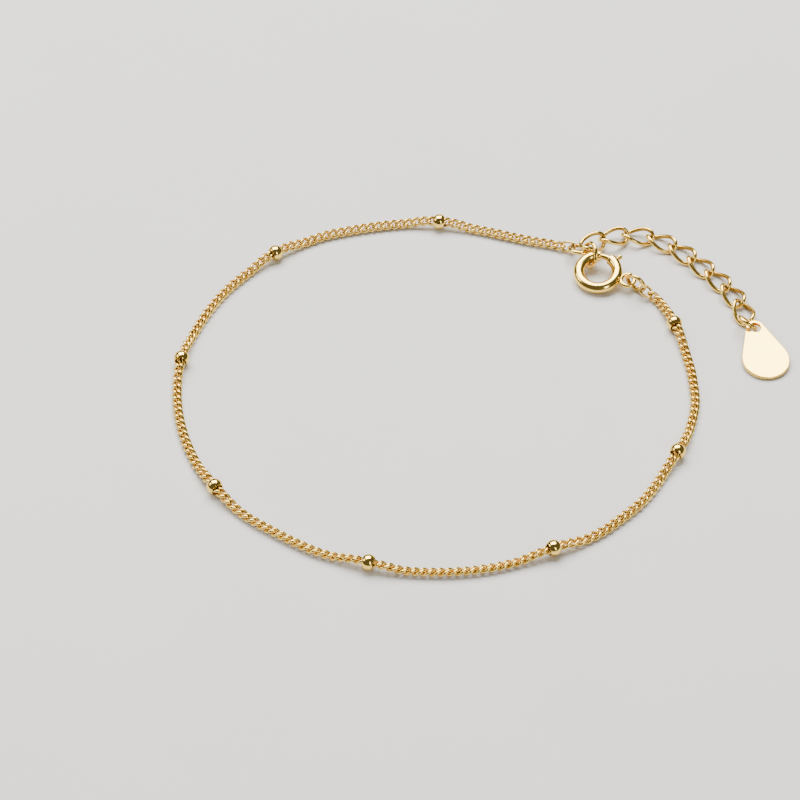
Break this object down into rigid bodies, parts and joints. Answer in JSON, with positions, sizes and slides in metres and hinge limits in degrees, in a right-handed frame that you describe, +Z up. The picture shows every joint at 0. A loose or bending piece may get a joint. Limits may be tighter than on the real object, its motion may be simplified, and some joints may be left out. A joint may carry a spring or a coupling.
{
  "type": "satellite-chain anklet",
  "caption": "Fine curb-chain anklet with spaced round beads, spring-ring clasp, extender chain and a bare drop-shaped tag, lying fastened.",
  "frame": {"origin": "on the surface that the anklet lies on, under the middle of its bounding box", "axes": "+Z up from that surface, +X along the anklet's longest extent towards the drop tag, +Y towards the clasp"},
  "size_m": [0.0847, 0.0666, 0.0038],
  "materials": {
    "chain_gold": "polished yellow gold plate",
    "bead_gold": "mirror-polished yellow gold plate",
    "ring_gold": "polished yellow gold plate",
    "clasp_gold": "polished yellow gold plate",
    "bolt_gold": "polished yellow gold plate",
    "extender_gold": "polished yellow gold plate",
    "tag_gold": "polished yellow gold plate"
  },
  "bodies": {
    "anklet": {"curb_chain": "chain_gold", "chain_end_link_left": "chain_gold", "chain_end_link_right": "chain_gold", "satellite_bead_1": "bead_gold", "satellite_bead_2": "bead_gold", "satellite_bead_3": "bead_gold", "satellite_bead_4": "bead_gold", "satellite_bead_5": "bead_gold", "satellite_bead_6": "bead_gold", "satellite_bead_7": "bead_gold", "satellite_bead_8": "bead_gold", "end_ring": "ring_gold", "closing_ring": "ring_gold", "clasp_jump_ring": "ring_gold", "tag_ring": "ring_gold", "clasp_ring": "clasp_gold", "extender_link_1": "extender_gold", "extender_link_2": "extender_gold", "extender_link_3": "extender_gold", "extender_link_4": "extender_gold", "extender_link_5": "extender_gold", "extender_link_6": "extender_gold", "extender_link_7": "extender_gold", "extender_link_8": "extender_gold", "extender_link_9": "extender_gold", "drop_tag": "tag_gold"},
    "clasp_bolt": {"clasp_bolt": "bolt_gold"}
  },
  "joints": [
    {"name": "bolt_slide", "type": "hinge", "parent": "anklet", "child": "clasp_bolt", "pos_m": [0.01694, 0.02148, 0.00141], "axis": [0.0808, 0.2106, -0.9742], "range_deg": [0, 33], "stiffness_Nm_per_rad": 0.001, "springref_deg": -28.65}
  ]
}
